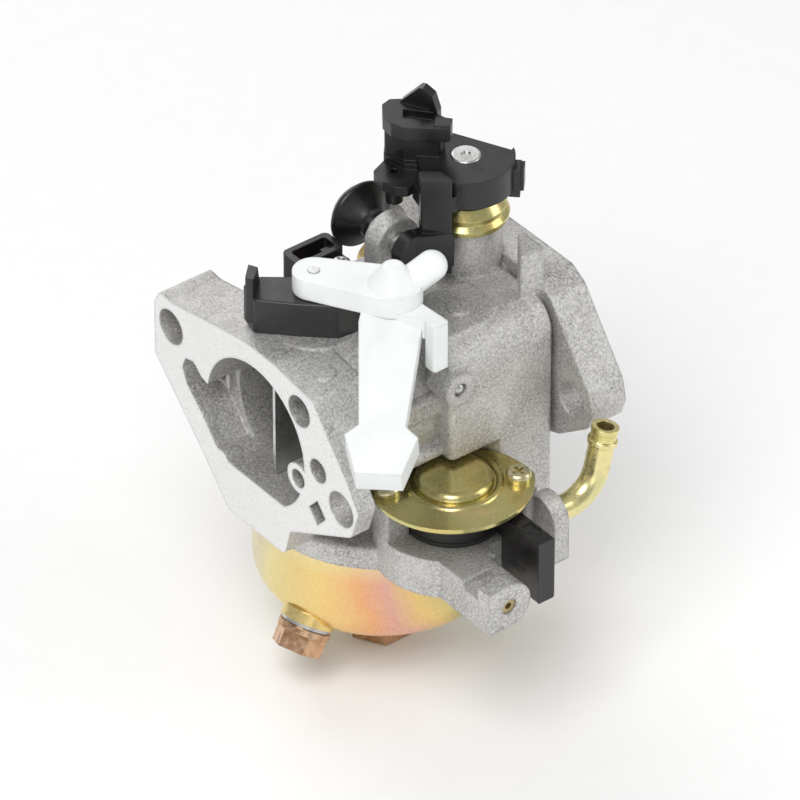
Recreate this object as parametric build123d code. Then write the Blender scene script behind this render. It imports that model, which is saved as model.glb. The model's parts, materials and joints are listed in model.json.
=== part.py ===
from build123d import *
from math import atan2, cos, degrees, hypot, radians, sin
import os

# Float-bowl carburetor of a small engine, with its own manual fuel valve. Millimetres.
# The origin is midway between the two stud holes on the engine flange face. +X points into the
# engine along the bore, -Y is the operator's side with the fuel valve, +Z is up.

# ---- driving dimensions ----
body_length = 72.0          # choke flange face to engine flange face
bore_z = -4.0               # bore axis height
stud_pitch = 61.4
stud_tilt = 12.0            # degrees, the front stud hole is the lower one
stud_hole_r = 4.25
choke_flange_t = 13.5
engine_flange_t = 9.5
air_horn_r = 17.2
air_horn_floor_z = -18.0
air_horn_depth = 28.5
venturi_r = 11.0
venturi_length = 6.0
throttle_bore_r = 13.5
throttle_bore_depth = 23.0
wall = 3.6

choke_x = -body_length + 16.0                   # choke shaft axis
throttle_x = -15.0                              # throttle shaft axis
bowl_x = -body_length + air_horn_depth + 5.5    # bowl and nozzle axis, in the venturi
running_gap = 0.05          # radial clearance of turning shafts
fit_gap = 0.03              # radial clearance of threads and seated pins

choke_shaft_r = 3.0
choke_plate_t = 0.8
choke_plate_reach = 11.0
throttle_shaft_r = 4.0
throttle_plate_t = 1.2
throttle_rest_angle = 10.0

top_z = 18.5                # machined top of the choke boss
barrel_top_z = 17.0

bowl_r = 28.3
ring_r = bowl_r + 0.7
ring_top_z = -29.5
flange_foot_z = -31.0
ring_bottom_z = -35.0
bowl_wall = 1.0
bowl_bottom_z = -58.0
bowl_corner_r = 8.0
bowl_dish_r = 10.5
bowl_dish_z = -63.0
pillar_r = 6.0

valve_x = bowl_x - 2.0      # fuel valve axis
valve_y = -27.5
valve_plate_z = -16.0       # top of the valve plate
valve_plate_t = 1.0
valve_tilt = -27.5          # direction of the plate's long axis, degrees
valve_half_length = 18.0
valve_screw_offset = 14.3
valve_pocket_r = 11.2
valve_pocket_depth = 8.3
valve_lever_gap = 0.3

idle_x = throttle_x - 17.0  # idle-speed screw axis
idle_z = 27.4
idle_screw_r = 2.4

inlet_y = -41.0
inlet_z = -23.8
pipe_r = 2.9
pipe_bore_r = 2.0

CENTRED = (Align.CENTER, Align.CENTER, Align.MIN)


# ---- helpers ----
def at_x(x):
    """Plane across the bore: its local x is Y, its local y is Z, and it faces +X."""
    return Plane(origin=(x, 0, 0), x_dir=(0, 1, 0), z_dir=(1, 0, 0))


def at_z(z):
    return Plane.XY.offset(z)


def prism(plane, points, height, corner=0.0):
    outline = Polygon(*points, align=None)
    if corner:
        outline = fillet(outline.vertices(), corner)
    return extrude(plane * outline, height, dir=plane.z_dir)


def rod(start, direction, radius, length):
    return Plane(origin=start, z_dir=direction) * Cylinder(radius, length, align=CENTRED)


def cone(start, direction, bottom_r, top_r, length):
    if abs(bottom_r - top_r) < 0.001:
        return rod(start, direction, bottom_r, length)
    return Plane(origin=start, z_dir=direction) * Cone(bottom_r, top_r, length, align=CENTRED)


def hexagon(start, direction, across_flats, length):
    outline = RegularPolygon(across_flats / 2, 6, major_radius=False)
    frame = Plane(origin=start, z_dir=direction)
    return extrude(frame * outline, length, dir=frame.z_dir)


def block(low, high):
    size = [b - a for a, b in zip(low, high)]
    middle = [(a + b) / 2 for a, b in zip(low, high)]
    return Pos(*middle) * Box(*size)


def soft_block(low, high, radius, axis=Axis.Z):
    solid = block(low, high)
    return fillet(solid.edges().filter_by(axis), radius)


def pan_screw(seat, direction, shank_r, shank_length, head_r, head_h, recess=True):
    """A pan-head screw: seat is the point under the head, direction points out of the hole."""
    frame = Plane(origin=seat, z_dir=direction)
    head = Cylinder(head_r, head_h, align=CENTRED)
    head = fillet(head.edges().sort_by(Axis.Z)[-1], head_h * 0.55)
    shank = Pos(0, 0, -shank_length) * Cylinder(shank_r, shank_length, align=CENTRED)
    screw = head + shank
    if recess:
        for turn in (0, 90):
            slot = Box(head_r * 1.15, head_r * 0.26, head_h)
            screw -= Pos(0, 0, head_h) * Rot(0, 0, turn) * slot
    return frame * screw


def stud_points():
    half = stud_pitch / 2
    y = half * cos(radians(stud_tilt))
    z = half * sin(radians(stud_tilt))
    return [(y, z), (-y, -z)]


# ---- body casting ----
def choke_flange():
    outline = [(36, 10), (34, 13.6), (30, 13.2), (11, 17), (3, 18.3), (-7, 18.3), (-20, 16.5),
               (-32, 2), (-36, -4.4), (-33.4, -12), (-12, -23.5), (-10, flange_foot_z),
               (10, flange_foot_z), (20, -20), (31, -9), (36, -4)]
    flange = prism(at_x(-body_length), outline, choke_flange_t, 1.6)
    back = -body_length + choke_flange_t + 1
    relief = [(back, -45), (back, -19), (back - 9.7, -25.5), (back - 9.7, -45)]
    return flange - prism(at_z(-24), relief, 25)


def engine_flange():
    outline = [(-18, 19), (-22.5, 16.5), (-36, -1.5), (-37, -6.5), (-35.5, -11), (-26, -18),
               (-12, -23), (12, -23), (18, -19), (22.5, -16.5), (36, 1.5), (37, 6.5),
               (35.5, 11), (26, 18), (12, 18.6)]
    return prism(at_x(-engine_flange_t), outline, engine_flange_t, 2.0)


def barrels():
    horn_start = -body_length + choke_flange_t - 1
    horn = rod((horn_start, 0, bore_z), (1, 0, 0), air_horn_r + wall, 20)
    horn_end = horn_start + 20
    slope = cone((horn_end, 0, bore_z), (1, 0, 0), air_horn_r + wall, throttle_bore_r + wall + 1, 8)
    tail = rod((horn_end, 0, bore_z), (1, 0, 0), throttle_bore_r + wall + 1, -horn_end - 1)
    return horn + slope + tail


def front_block():
    body = block((bowl_x - 0.5, -25.2, ring_bottom_z + 2), (throttle_x + 4.5, 0, barrel_top_z))
    body = fillet(body.edges().filter_by(Axis.X).sort_by(Axis.Y)[:2].sort_by(Axis.Z)[-1], 7.5)
    edges = body.edges().filter_by(Axis.Z).sort_by(Axis.Y)[:2]
    return fillet(edges, 1.6)


def shoulder():
    """Raised step on the front block, beside the throttle boss."""
    t = throttle_x
    step = prism(at_z(10), [(t - 23, -12), (t - 23, -22.5), (t - 12, -22.5), (t - 5.5, -19),
                            (t - 5.5, -8), (t - 15, -6)], barrel_top_z + 1.2 - 10, 1.5)
    return fillet(step.edges().group_by(Axis.Z)[-1], 1.0)


def back_block():
    body = block((bowl_x - 2, 0, -26), (throttle_x + 3, 22.5, 12))
    body = fillet(body.edges().filter_by(Axis.X).sort_by(Axis.Y)[-2:], 6)
    return fillet(body.edges().filter_by(Axis.Z).sort_by(Axis.Y)[-2:], 2)


def bowl_cover():
    ring = Pos(bowl_x, 0, ring_bottom_z) * Cylinder(ring_r, ring_top_z - ring_bottom_z, align=CENTRED)
    ring = fillet(ring.edges().sort_by(Axis.Z)[-1], 1.2)
    neck = Pos(bowl_x, 0, ring_bottom_z + 1) * Cylinder(21.5, 24, align=CENTRED)
    return ring + neck


def throttle_boss():
    top = 28.6
    boss = Pos(throttle_x, 0, 0) * Cylinder(8.0, top, align=CENTRED)
    skirt = Pos(throttle_x, 0, 8) * Cone(13.5, 8.0, 8.5, align=CENTRED)
    lower = Pos(throttle_x, 0, -27) * Cylinder(7.0, 14, align=CENTRED)
    return boss + skirt + lower


def idle_lug():
    half = 5.6
    plate = block((idle_x - half, 1.8, 8), (idle_x + half, 6.4, idle_z))
    crown = rod((idle_x, 6.4, idle_z), (0, -1, 0), half, 4.6)
    return plate + crown


def choke_boss():
    land = Pos(choke_x, 0, 8) * Cylinder(10.0, top_z - 8, align=CENTRED)
    pad = soft_block((choke_x + 1, 3, 8), (choke_x + 18, 17, 17.0), 2.5)
    lower = Pos(choke_x, 0, -28) * Cylinder(6.5, 12, align=CENTRED)
    return land + pad + lower


def stop_post():
    """Wide-open stop for the throttle lever, standing beside the engine flange."""
    return prism(at_z(8), [(-15.3, -19.2), (-9, -19.8), (-9, -12.6), (-10.8, -12.6)], 20, 0.5)


def front_details():
    ball_boss = rod((ball_x, -20, ball_z), (0, -1, 0), 3.9, 7.0)
    bulge = block((valve_x - 11, -22, -16.5), (valve_x + 10, -8, -9.5))
    bulge = fillet(bulge.edges().filter_by(Axis.X), 3.0)
    rib = block((choke_x - 4, -21, -3), (bowl_x + 2, -16, 3.5))
    rib = fillet(rib.edges().filter_by(Axis.X), 1.5)
    mixture_boss = rod((mixture_x, 14, mixture_z), (0, 1, 0), 5.2, 11.5)
    return ball_boss + bulge + rib + mixture_boss


def ejector_marks():
    marks = []
    for x, y, z in ((choke_x - 9.5, 22.5, 14.4), (choke_x - 8.5, -14.5, 17.1),
                    (throttle_x - 13.5, -15.0, barrel_top_z + 1.2)):
        marks.append(Pos(x, y, z - 1.0) * Cylinder(2.6, 1.35, align=CENTRED))
    return marks


def valve_outline(inset=0.0):
    """Eye-shaped outline of the valve plate, about the valve axis, long axis along local X."""
    half = valve_half_length - inset
    front = ThreePointArc((-half, 0), (-2.5, -16.4 + inset), (half, 0))
    back = ThreePointArc((half, 0), (1.5, 12.8 - inset), (-half, 0))
    return make_face([front.edge(), back.edge()])


def on_valve(z):
    return Plane(origin=(valve_x, valve_y, z), x_dir=(cos(radians(valve_tilt)),
                 sin(radians(valve_tilt)), 0), z_dir=(0, 0, 1))


def valve_screw_points():
    plane = on_valve(valve_plate_z)
    return [plane.from_local_coords((side * valve_screw_offset, -0.8, 0)) for side in (-1, 1)]


valve_arm_x = (valve_x - 11.8, valve_x - 0.6)
valve_arm_y = -55.3
valve_arm_z = (ring_bottom_z + 0.2, -24.0)
inlet_wall_x = (valve_x + 14.5, valve_x + 18.5)


def valve_housing():
    top = valve_plate_z - valve_plate_t
    bottom = ring_bottom_z
    shell = extrude(on_valve(bottom) * valve_outline(0.7), top - bottom)
    arm_low = (valve_arm_x[0], valve_arm_y, valve_arm_z[0])
    arm_high = (valve_arm_x[1], valve_y, valve_arm_z[1])
    arm = block(arm_low, arm_high)
    corner = arm.edges().filter_by(Axis.Y).sort_by(Axis.X)[-2:]
    arm = fillet(corner, 5.2)
    root = block((valve_x - 12, valve_y, bottom), (valve_x + 14, -12, top - 1.5))
    return shell + arm + root


def inlet_wall():
    low, high = inlet_wall_x
    centre_y = inlet_y + 1.6
    r = 5.2
    wall_plate = block((low, centre_y - r, ring_bottom_z + 0.2), (high, centre_y + r, inlet_z - 1.2))
    crown = rod((low, centre_y, inlet_z - 1.2), (1, 0, 0), r, high - low)
    web = prism(at_z(ring_bottom_z + 0.2), [(low + 0.3, -34.6), (high - 0.5, -34.6), (high - 0.5, -24),
                                            (low - 8.5, -20), (low - 5.5, -33.5)], 13.0, 0.8)
    return wall_plate + crown + web


def bowl_pillar():
    return Pos(bowl_x, 0, bowl_dish_z + bowl_wall) * Cylinder(
        pillar_r, ring_bottom_z - bowl_dish_z - bowl_wall + 1, align=CENTRED)


float_pin_x = bowl_x + bowl_r - 4.9
float_pin_z = -38.5
float_pin_r = 0.9


def float_posts():
    posts = []
    for side in (-1, 1):
        y = sorted((side * 7.0, side * 9.4))
        posts.append(block((float_pin_x - 2, y[0], float_pin_z - 2.2),
                           (float_pin_x + 2, y[1], ring_bottom_z + 1)))
    return posts


def air_passages():
    """Air horn, venturi and throttle bore, taken out of the casting."""
    face = -body_length
    horn = rod((face - 1, 0, bore_z), (1, 0, 0), air_horn_r, air_horn_depth + 1)
    floor = block((face - 2, -30, air_horn_floor_z - 20), (face + air_horn_depth + 2, 30,
                                                           air_horn_floor_z))
    horn -= floor
    throat_start = face + air_horn_depth
    inlet = cone((throat_start - 0.01, 0, bore_z), (1, 0, 0), air_horn_floor_z * -1 + bore_z,
                 venturi_r, 4.5)
    throat = rod((throat_start + 4, 0, bore_z), (1, 0, 0), venturi_r, venturi_length)
    diffuser_start = throat_start + 4 + venturi_length - 0.5
    diffuser = cone((diffuser_start, 0, bore_z), (1, 0, 0), venturi_r, throttle_bore_r,
                    -throttle_bore_depth - diffuser_start + 0.01)
    bore = rod((-throttle_bore_depth, 0, bore_z), (1, 0, 0), throttle_bore_r,
               throttle_bore_depth + 1)
    return [horn, inlet, throat, diffuser, bore]


def air_horn_pocket():
    """Side lobe of the air horn that feeds the air jets."""
    lobe = [(12, 1), (15, -1.5), (19, -0.8), (22, 1.8), (25, 1), (26.2, -2), (24.5, -6),
            (19, -11), (14, -16.5), (8, -16.5)]
    return prism(at_x(-body_length - 1), lobe, 9.5, 0.9)


def jet_frame():
    """Small raised frame round the air jet hole, on the floor of the lobe."""
    frame = prism(at_x(-body_length + 8.4), [(17.5, -6), (22.6, -5.4), (23, -0.6), (18, -1)], -2.2, 0.4)
    frame -= rod((-body_length + 10, 20.3, -3.2), (-1, 0, 0), 1.5, 6)
    return frame


def face_holes():
    face = -body_length - 1
    cuts = []
    for y, z, r, depth in ((-15.5, 11, 3.75, 13), (-22, -1, 2.85, 5.5), (-15, -7.3, 2.25, 15)):
        cuts.append(rod((face, y, z), (1, 0, 0), r, depth + 1))
    half = 2.9
    y, z = -21.7, -12.5
    diamond = [(y - half, z), (y, z - half * 1.15), (y + half, z), (y, z + half * 1.15)]
    cuts.append(prism(at_x(face), diamond, 6.5))
    return cuts


def shaft_holes():
    cuts = []
    r = throttle_shaft_r + running_gap
    cuts.append(Pos(throttle_x, 0, -24) * Cylinder(r, 60, align=CENTRED))
    cuts.append(Pos(throttle_x, 0, 26.0) * Cylinder(6.0, 5, align=CENTRED))
    r = choke_shaft_r + running_gap
    cuts.append(Pos(choke_x, 0, -25) * Cylinder(r, 50, align=CENTRED))
    cuts.append(rod((idle_x, 10, idle_z), (0, -1, 0), idle_screw_r + running_gap, 12))
    cuts.append(rod((float_pin_x, -12, float_pin_z), (0, 1, 0), float_pin_r + fit_gap, 24))
    return cuts


def fuel_holes():
    cuts = []
    cuts.append(Pos(bowl_x, 0, bowl_dish_z) * Cylinder(3.0 + fit_gap, 10.5, align=CENTRED))
    cuts.append(Pos(bowl_x, 0, -55) * Cylinder(nozzle_r + fit_gap, 45, align=CENTRED))
    cuts.append(Pos(needle_x, 0, ring_bottom_z - 1) * Cylinder(seat_r + fit_gap, 5.6, align=CENTRED))
    cuts.append(Pos(needle_x, 0, ring_bottom_z) * Cylinder(1.2, 9, align=CENTRED))
    groove = Cylinder(gasket_r[1] + 0.1, gasket_t, align=CENTRED)
    groove -= Cylinder(gasket_r[0] - 0.1, gasket_t, align=CENTRED)
    cuts.append(Pos(bowl_x, 0, ring_bottom_z) * groove)
    return cuts


def sector(radius, headings):
    points = [(radius * cos(radians(a)), radius * sin(radians(a))) for a in headings]
    return [(0, 0)] + points


def valve_cuts():
    top = valve_plate_z - valve_plate_t
    floor = top - valve_pocket_depth
    cuts = [Pos(valve_x, valve_y, floor) * Cylinder(valve_pocket_r, valve_pocket_depth + 1,
                                                    align=CENTRED)]
    centre = Plane(origin=(valve_x, valve_y, floor))
    cuts.append(prism(centre, sector(24, (176, 200, 225, 250, 275, 300)), valve_pocket_depth + 1))
    cuts.append(prism(centre, sector(gusset_r + 1, (296, 310, 322, 333)), valve_pocket_depth + 1))
    cuts.append(extrude(on_valve(top) * valve_outline(-0.3), 4.6))
    swing = sector(gusset_r + 4.2, (268, 280, 295, 310, 324))
    swing_gap = prism(Plane(origin=(valve_x, valve_y, ring_bottom_z - 1)), swing, top - ring_bottom_z)
    cuts.append(swing_gap - Pos(valve_x, valve_y, -60) * Cylinder(gusset_r - 0.3, 60, align=CENTRED))
    for point in valve_screw_points():
        cuts.append(Pos(point.X, point.Y, top - 8) * Cylinder(1.5 + fit_gap, 9, align=CENTRED))
    for x, y in ((-4, 0), (3, 4)):
        cuts.append(Pos(valve_x + x, valve_y + y, floor - 4) * Cylinder(1.6, 5, align=CENTRED))
    cuts.append(rod((plug_x, valve_arm_y - 1, plug_z), (0, 1, 0), plug_r + fit_gap, 9))
    cuts.append(rod((inlet_wall_x[1] + 1, inlet_y, inlet_z), (-1, 0, 0), pipe_r + fit_gap, 4.4))
    left = valve_arm_x[0] - 0.7
    notch = prism(at_z(valve_arm_z[1] - 3.2), [(left, -46.5), (left + 8, -46.5), (left + 4.3, -51.2),
                                              (left, -51.2)], 6)
    cuts.append(notch)
    return cuts


def small_cuts():
    cuts = []
    cuts.append(rod((ball_x, -28, ball_z), (0, 1, 0), ball_r + fit_gap, 5.5))
    cuts.append(rod((mixture_x, 27, mixture_z), (0, -1, 0), mixture_r + running_gap, 12.5))
    cuts.append(rod((mixture_x, 15, mixture_z), (0, -1, 0), 1.2, 8))
    cuts.append(Pos(holder_screw_x, holder_screw_y, 10) * Cylinder(1.3 + fit_gap, 8, align=CENTRED))
    cuts.append(Pos(jet_x, jet_y, 10) * Cylinder(2.2 + fit_gap, 8, align=CENTRED))
    return cuts


nozzle_r = 2.6
needle_x = float_pin_x - 7.4
seat_r = 3.2
gasket_r = (bowl_r - 2.0, bowl_r - 0.2)
gasket_t = 1.6
ball_x = bowl_x + 0.7
ball_z = 7.2
ball_r = 1.65
mixture_x = throttle_x - 3.0
mixture_z = 2.0
plug_x = valve_x - 6.2
plug_z = -29.5
plug_r = 1.9
mixture_r = 2.6
holder_screw_x = choke_x + 12.0
holder_screw_y = 6.2
jet_x = choke_x + 10.0
jet_y = 12.6


def carburetor_body():
    body = barrels() + choke_flange() + engine_flange()
    body += bowl_cover()
    body += front_block()
    body += back_block()
    body += throttle_boss()
    body += choke_boss()
    body += shoulder()
    body += front_details()
    body += valve_housing()
    body += inlet_wall()
    body += idle_lug()
    body += stop_post()
    for piece in ejector_marks():
        body += piece
    for cut in air_passages():
        body -= cut
    body -= air_horn_pocket()
    body += jet_frame()
    hood = rod((-body_length, -15, -7.3), (1, 0, 0), 3.75, 12.5)
    body += hood
    body += bowl_pillar()
    for piece in float_posts():
        body += piece
    for y, z in stud_points():
        body -= rod((-body_length - 1, y, z), (1, 0, 0), stud_hole_r, body_length + 2)
    for cut in face_holes() + shaft_holes() + fuel_holes() + valve_cuts() + small_cuts():
        body -= cut
    return body


# ---- throttle group ----
lever_top_z = 44.0
sector_t = 7.0
hook_z = 12.0               # underside of the hook plate above the sector's underside
stake_sink = 0.6


def turned(solid, x, angle):
    """Turn a solid about the upright axis at x."""
    return Pos(x, 0, 0) * Rot(0, 0, angle) * Pos(-x, 0, 0) * solid


def throttle_plate():
    slab = block((throttle_x - throttle_plate_t / 2, -20, bore_z - 20),
                 (throttle_x + throttle_plate_t / 2, 20, bore_z + 20))
    slab = turned(slab, throttle_x, throttle_rest_angle)
    disc = rod((throttle_x - 10, 0, bore_z), (1, 0, 0), throttle_bore_r - 0.1, 20)
    plate = slab & disc
    for z in (-6.0, 6.0):
        plate -= plate_hole(throttle_x, bore_z + z, throttle_rest_angle)
    return plate


def throttle_shaft():
    shaft = Pos(throttle_x, 0, -23.5) * Cylinder(throttle_shaft_r, lever_top_z - sector_t + 23.5,
                                               align=CENTRED)
    neck_z = lever_top_z - sector_t
    stake_z = lever_top_z - stake_sink
    neck = Pos(throttle_x, 0, neck_z) * Cylinder(2.6, stake_z - neck_z, align=CENTRED)
    stake = Pos(throttle_x, 0, stake_z) * Cylinder(3.3, 0.9, align=CENTRED)
    stake = fillet(stake.edges().sort_by(Axis.Z)[-1], 0.4)
    dimple = Pos(throttle_x, 0, stake_z + 0.5) * Cylinder(1.0, 1, align=CENTRED)
    shaft = shaft + neck + stake - dimple
    slot = block((throttle_x - throttle_plate_t / 2, -8, bore_z - throttle_bore_r),
                 (throttle_x + throttle_plate_t / 2, 8, bore_z + throttle_bore_r))
    shaft -= turned(slot, throttle_x, throttle_rest_angle)
    for z in (-6.0, 6.0):
        shaft -= plate_hole(throttle_x, bore_z + z, throttle_rest_angle)
    return shaft


def plate_hole(x, z, angle):
    return turned(rod((x - 8, 0, z), (1, 0, 0), 1.25 + fit_gap, 16), x, angle)


def throttle_plate_screws():
    screws = []
    for z in (-6.0, 6.0):
        seat = (throttle_x - throttle_shaft_r, 0, bore_z + z)
        screw = pan_screw(seat, (-1, 0, 0), 1.25, 7.0, 2.3, 1.5)
        screws.append(turned(screw, throttle_x, throttle_rest_angle))
    return screws


def throttle_lever():
    """Black moulded lever: sector plate, hook plate with its fin, link ear, skirt and idle pad."""
    t = throttle_x
    z0 = lever_top_z - sector_t
    sector = Pos(t, 0, z0) * Cylinder(10.6, sector_t, align=CENTRED)
    sector -= prism(at_z(z0 - 1), [(t + 2.7, 8.0), (t + 8.8, -4.5), (t + 20, 0), (t + 12, 16),
                                   (t - 1, 15.6)], sector_t + 2)
    tab = turned(block((t + 9.4, -1.9, z0 - 2), (t + 11.8, 1.9, z0 + 5.2)), t, -44)
    tab_rim = turned(block((t + 11.2, -0.8, z0 - 1), (t + 12.5, 2.4, z0 + 4.6)), t, -44)
    lever = sector + tab + tab_rim
    for piece in (lever_tower(t, z0), lever_hook(t, z0), lever_fin(t, z0), lever_ear(t, z0)):
        lever += piece
    lever += lever_skirt(t, z0)
    lever -= Pos(t - 13.4, 7.8, 20) * Cylinder(0.8, 40, align=CENTRED)
    lever -= Pos(t, 0, 0) * Cylinder(2.6 + fit_gap, 60, align=CENTRED)
    return lever - Pos(t, 0, lever_top_z - stake_sink) * Cylinder(3.3 + fit_gap, 3, align=CENTRED)


def lever_tower(t, z0):
    """Recessed wall that carries the hook plate."""
    outline = [(t - 2.6, 3.6), (t - 5.0, 2.6), (t - 10.6, 8.2), (t - 12.4, 12.6), (t - 9.8, 15.6),
               (t - 7.7, 16.2), (t - 5.4, 14.6)]
    foot = [(t - 1.0, 2.0), (t - 4.4, 0.4), (t - 11.4, 6.9), (t - 12.6, 12.6), (t - 9.8, 15.8),
            (t - 7.7, 16.4), (t - 2.6, 9.0)]
    return prism(at_z(z0), outline, hook_z, 0.6) + prism(at_z(z0), foot, 5.6, 0.6)


def lever_hook(t, z0):
    outline = [(t - 1.9, 2.2), (t - 4.2, 0.2), (t - 11.8, 6.7), (t - 12.9, 9.6), (t - 12.6, 12.9),
               (t - 10.2, 16.2), (t - 7.7, 16.8), (t - 5.4, 15.2)]
    hook = prism(at_z(z0 + hook_z), outline, 3.5, 0.8)
    groove = [(t - 7.6, 12.2), (t - 9.6, 9.6), (t - 5.2, 4.7), (t - 2.9, 6.6)]
    hook -= prism(at_z(z0 + hook_z + 1.5), groove, 3, 0.4)
    lip = [(t - 1.9, 2.2), (t - 4.0, 0.4), (t - 6.6, 2.8), (t - 4.4, 5.2)]
    return hook + prism(at_z(z0 + hook_z + 2), lip, 2.1, 0.3)


def lever_fin(t, z0):
    """Upright fin along the back of the hook plate, with a peaked top."""
    along = Vector(4.1, -7.8, 0).normalized()
    face = Plane(origin=(t - 6.7, 14.6, z0 + hook_z), x_dir=along, z_dir=(along.Y, -along.X, 0))
    outline = [(0, 0), (0, 3.6), (4.4, 8.4), (5.4, 8.6), (7.6, 7.2), (8.8, 3.4), (8.8, 0)]
    return prism(face, outline, -2.2, 0.3)


def lever_ear(t, z0):
    """Link ear with a small hole, and the round post under it."""
    outline = [(t - 17.2, 10.4), (t - 17.8, 6.4), (t - 17.0, 3.2), (t - 15.0, 1.2), (t - 10.8, 1.6),
               (t - 4.6, 3.0), (t - 3.0, 8.0), (t - 11.4, 12.8)]
    ear = prism(at_z(z0 + 1.8), outline, 2.4, 1.2)
    return ear + Pos(t - 13.4, 7.8, 33.6) * Cylinder(1.9, z0 + 3 - 33.6, align=CENTRED)


def lever_skirt(t, z0):
    """Flat hanging panel with the round pad that meets the idle-speed screw."""
    panel = [(t - 9.6, -8.2), (t - 15.2, -3.8), (t - 13.4, -0.6), (t - 9.8, -3.6)]
    bridge = [(t - 9.2, -7.6), (t - 14.4, -3.6), (t - 12.6, 2.6), (t - 5, 3), (t - 2, -6)]
    skirt = prism(at_z(21.5), panel, 46.0 - 21.5, 0.4)
    skirt += prism(at_z(z0), bridge, 4.0, 0.6)
    pad = rod((idle_x, -1.4, idle_z + 0.6), (0, -1, 0), 4.4, 3.2)
    web = [(idle_x - 0.2, -1.4), (idle_x - 0.2, -4.6), (t - 9.6, -8.2), (t - 11.0, -2.2)]
    return skirt + pad + prism(at_z(23.6), web, 8.6)


def throttle_dust_cap():
    """Domed spring washer between the lever and the throttle boss."""
    r = throttle_shaft_r + running_gap
    profile = Polyline((r, 28.6), (9.3, 28.6), (9.5, 29.8), (8.6, 31.0), (8.9, 32.4), (7.6, 34.6),
                       (r + 1, 35.6), (r, 35.6), close=True)
    cap = revolve(Plane.XZ * make_face(profile), Axis.Z)
    return Pos(throttle_x, 0, 0) * cap


def throttle_shaft_seal():
    seal = Cylinder(5.9, 2.3, align=CENTRED) - Cylinder(throttle_shaft_r + running_gap, 2.3,
                                                        align=CENTRED)
    return Pos(throttle_x, 0, 26.1) * seal


# ---- idle and mixture screws ----
def idle_speed_screw():
    shank = rod((idle_x, 14.5, idle_z), (0, -1, 0), idle_screw_r, 14.5)
    tip = cone((idle_x, 0, idle_z), (0, -1, 0), idle_screw_r, 1.4, 1.1)
    return shank + tip


def idle_screw_knob():
    """Flared knob: a narrow hub at the lug, opening out to a wide rounded rim."""
    half = make_face([
        Line((0, 9.3), (3.6, 9.3)).edge(),
        Line((3.6, 9.3), (3.6, 10.6)).edge(),
        ThreePointArc((3.6, 10.6), (5.4, 12.6), (7.4, 14.2)).edge(),
        ThreePointArc((7.4, 14.2), (7.9, 15.0), (7.3, 15.8)).edge(),
        ThreePointArc((7.3, 15.8), (5.0, 18.1), (1.5, 19.2)).edge(),
        Line((1.5, 19.2), (0, 19.2)).edge(),
        Line((0, 19.2), (0, 9.3)).edge()])
    knob = revolve(Plane.XZ * half, Axis.Z)
    knob -= Cylinder(idle_screw_r + fit_gap, 14.5, align=CENTRED)
    for index in range(12):
        knob -= Rot(0, 0, index * 30) * Pos(3.75, 0, 9.8) * Box(0.5, 0.7, 1.4)
    return Pos(idle_x, 0, idle_z) * Rot(-90, 0, 0) * knob


def coil(start, direction, radius, wire_r, height, turns):
    helix = Helix(height / turns, height, radius)
    frame = Plane(origin=start, z_dir=direction)
    section = Plane(origin=helix @ 0, z_dir=helix % 0) * Circle(wire_r)
    return frame * sweep(section, path=helix, is_frenet=True)


def mixture_screw():
    x, z = mixture_x, mixture_z
    shank = rod((x, 24.0, z), (0, -1, 0), mixture_r, 8.5)
    taper = cone((x, 15.6, z), (0, -1, 0), 1.0, 0.4, 2.9)
    neck = rod((x, 16.5, z), (0, -1, 0), 1.0, 1.5)
    head = rod((x, 24.0, z), (0, 1, 0), 2.2, 4.6)
    disc = rod((x, 27.6, z), (0, 1, 0), 4.0, 1.8)
    disc -= Pos(x, 29.6, z) * Box(9, 1.6, 0.9)
    return shank + taper + neck + head + disc


def mixture_screw_spring():
    return coil((mixture_x, 25.95, mixture_z), (0, 1, 0), 3.0, 0.4, 1.2, 1.0)


# ---- top fittings ----
def pilot_jet_holder():
    """Open tray with an ear for its screw, and a rib along its floor."""
    low, high = (choke_x + 3.5, 9.6, 17.0), (choke_x + 15.7, 16.4, 25.6)
    tray = soft_block(low, high, 1.4)
    tray = fillet(tray.edges().group_by(Axis.Z)[0], 1.0)
    tray -= soft_block((low[0] + 1.7, low[1] + 1.4, low[2] + 1.6), (high[0] - 1.4, high[1] - 1.4,
                                                                 high[2] + 1), 0.8)
    ear = Pos(holder_screw_x, holder_screw_y, 17.0) * Cylinder(3.1, 6.6, align=CENTRED)
    ear += block((holder_screw_x - 3.1, holder_screw_y, 17.0), (holder_screw_x + 3.1, 10.6, 23.6))
    rib = block((jet_x + 1.6, 12.1, 18), (high[0] - 1, 13.3, 24.4))
    tray += ear + rib
    tray -= Pos(holder_screw_x, holder_screw_y, 10) * Cylinder(1.3 + fit_gap, 20, align=CENTRED)
    tray -= Pos(jet_x, jet_y, 10) * Cylinder(2.2 + fit_gap, 11.5, align=CENTRED)
    return tray


def pilot_jet():
    jet = Pos(jet_x, jet_y, 10.6) * Cylinder(2.2, 8.6, align=CENTRED)
    head = Pos(jet_x, jet_y, 18.7) * Cylinder(2.0, 2.2, align=CENTRED)
    slot = Pos(jet_x, jet_y, 20.9) * Box(5, 0.7, 1.4)
    return jet + head - slot - Pos(jet_x, jet_y, 10) * Cylinder(0.5, 12, align=CENTRED)


def holder_screw():
    return pan_screw((holder_screw_x, holder_screw_y, 23.6), (0, 0, 1), 1.3, 12.5, 2.25, 1.9)


block_low_z = top_z
block_top_z = 27.0


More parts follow.
